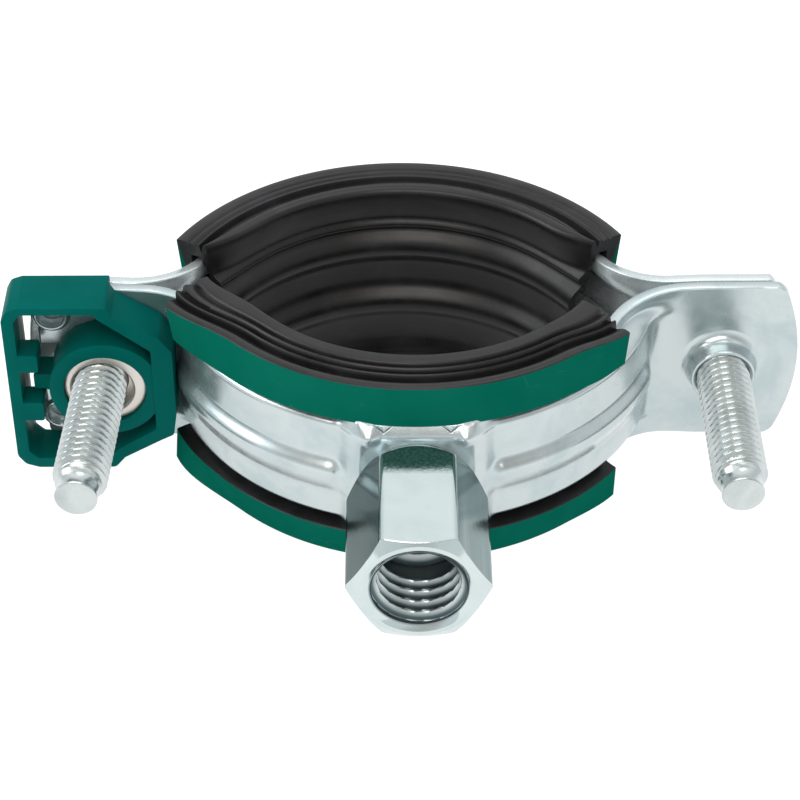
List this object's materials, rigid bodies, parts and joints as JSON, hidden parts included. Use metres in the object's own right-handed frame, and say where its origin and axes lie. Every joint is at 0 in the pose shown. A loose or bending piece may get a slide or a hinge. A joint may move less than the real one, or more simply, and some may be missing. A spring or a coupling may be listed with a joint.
{
  "type": "rubber lined pipe clamp",
  "caption": "Two-part lined pipe clamp: pressed steel halves with profiled rubber linings, closing screws through side ears, a green lock clip and a threaded hexagonal connection boss.",
  "frame": {"origin": "on the split plane between the ears, on the axis of the connection boss, at the middle of the band's width", "axes": "+X to the ear with the drawn collar, +Y from the boss towards the rear half, +Z along the pipe axis"},
  "size_m": [0.087, 0.0601, 0.024],
  "materials": {
    "zinc_band": "bright zinc plating, satin",
    "zinc_boss": "bright zinc plating on turned hexagon bar",
    "zinc_hardware": "bright zinc plating on rolled thread",
    "liner_rubber": "black profiled rubber with a dark green outer wall",
    "clip_green": "dark green moulded plastic, low gloss"
  },
  "bodies": {
    "front_half": {"front_shell": "zinc_band", "front_liner": "liner_rubber", "connection_boss": "zinc_boss", "lock_clip": "clip_green", "lock_nut": "zinc_hardware"},
    "rear_half": {"rear_shell": "zinc_band", "rear_liner": "liner_rubber", "right_washer": "zinc_hardware"},
    "right_screw": {"right_screw": "zinc_hardware"},
    "left_washer": {"left_washer": "zinc_hardware"},
    "left_screw": {"left_screw": "zinc_hardware"}
  },
  "joints": [
    {"name": "clamp_gap", "type": "slide", "parent": "front_half", "child": "rear_half", "axis": [0, 1, 0], "range_m": [0, 0.014]},
    {"name": "right_screw_turn", "type": "hinge", "parent": "rear_half", "child": "right_screw", "pos_m": [0.03417, 0, -0.0003], "axis": [0, 1, 0], "range_deg": [0, 5045]},
    {"name": "left_washer_slide", "type": "slide", "parent": "front_half", "child": "left_washer", "axis": [0.0476, 0.9989, 0], "range_m": [0, 0.01403]},
    {"name": "left_screw_turn", "type": "hinge", "parent": "left_washer", "child": "left_screw", "pos_m": [-0.03451, 0, 0], "axis": [0.0476, 0.9989, 0], "range_deg": [0, 5050]}
  ],
  "couplings": [
    {"joint": "right_screw_turn", "follows": "clamp_gap", "rad_per_m": 6283.2},
    {"joint": "left_washer_slide", "follows": "clamp_gap", "ratio": 1.0011},
    {"joint": "left_screw_turn", "follows": "clamp_gap", "rad_per_m": 6290.3}
  ]
}
